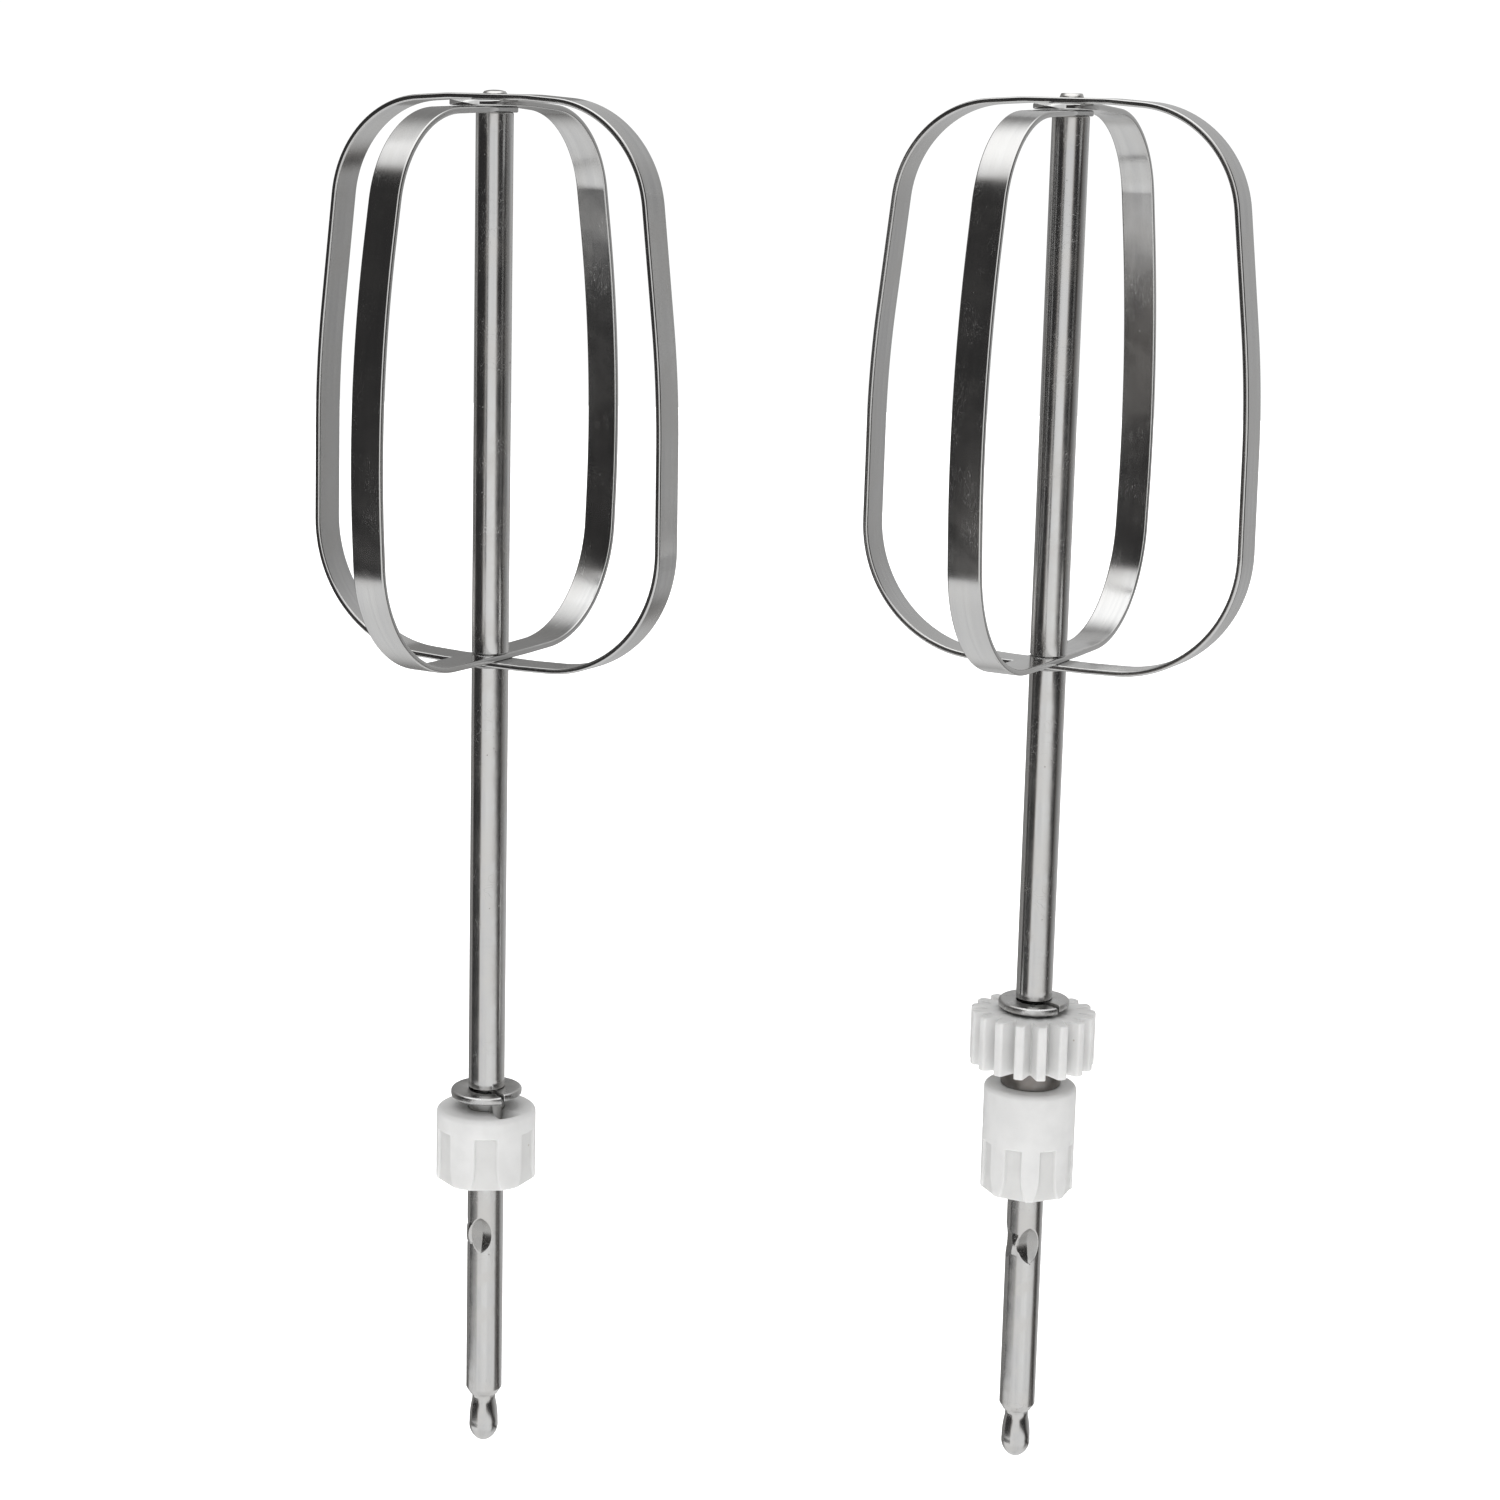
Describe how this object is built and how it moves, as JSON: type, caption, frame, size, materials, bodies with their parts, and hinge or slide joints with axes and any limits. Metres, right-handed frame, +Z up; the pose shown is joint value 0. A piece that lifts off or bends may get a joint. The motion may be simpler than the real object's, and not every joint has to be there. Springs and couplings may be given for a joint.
{
  "type": "hand mixer beater pair",
  "caption": "Pair of steel strip beaters for a hand mixer, each with a crossed-loop cage, a slim shaft, a drive collar and a snap-in tip; one also has a bowl gear.",
  "frame": {"origin": "on the left shaft's axis, where the chamfer of its drive end stops and the full 5 mm diameter starts", "axes": "+Z up along both shafts, from the drive tips to the cages; +X from the left beater to the right one; -Y is the front"},
  "size_m": [0.1258, 0.0512, 0.1907],
  "materials": {
    "cage_strip": "polished stainless strip, rounded edges",
    "shaft_steel": "ground and polished stainless bar and tube",
    "ring_steel": "dull spring steel",
    "collar_plastic": "white moulded plastic, satin"
  },
  "bodies": {
    "left_beater": {"left_drive_shaft": "shaft_steel", "left_centre_tube": "shaft_steel", "left_outer_loop": "cage_strip", "left_inner_loop": "cage_strip", "left_drive_collar": "collar_plastic"},
    "left_ring": {"left_retaining_ring": "ring_steel"},
    "right_beater": {"right_drive_shaft": "shaft_steel", "right_centre_tube": "shaft_steel", "right_outer_loop": "cage_strip", "right_inner_loop": "cage_strip", "right_drive_collar": "collar_plastic", "right_bowl_gear": "collar_plastic", "right_spacer_washer": "ring_steel"},
    "right_ring": {"right_retaining_ring": "ring_steel"}
  },
  "joints": [
    {"name": "right_beater_spin", "type": "hinge", "parent": "left_beater", "child": "right_beater", "pos_m": [0.0756, 0, 0], "axis": [0, 0, 1], "continuous": true},
    {"name": "left_ring_turn", "type": "hinge", "parent": "left_beater", "child": "left_ring", "pos_m": [0, 0, 0.04285], "axis": [0, 0, 1], "continuous": true},
    {"name": "right_ring_turn", "type": "hinge", "parent": "right_beater", "child": "right_ring", "pos_m": [0.0756, 0, 0.05715], "axis": [0, 0, 1], "continuous": true}
  ]
}
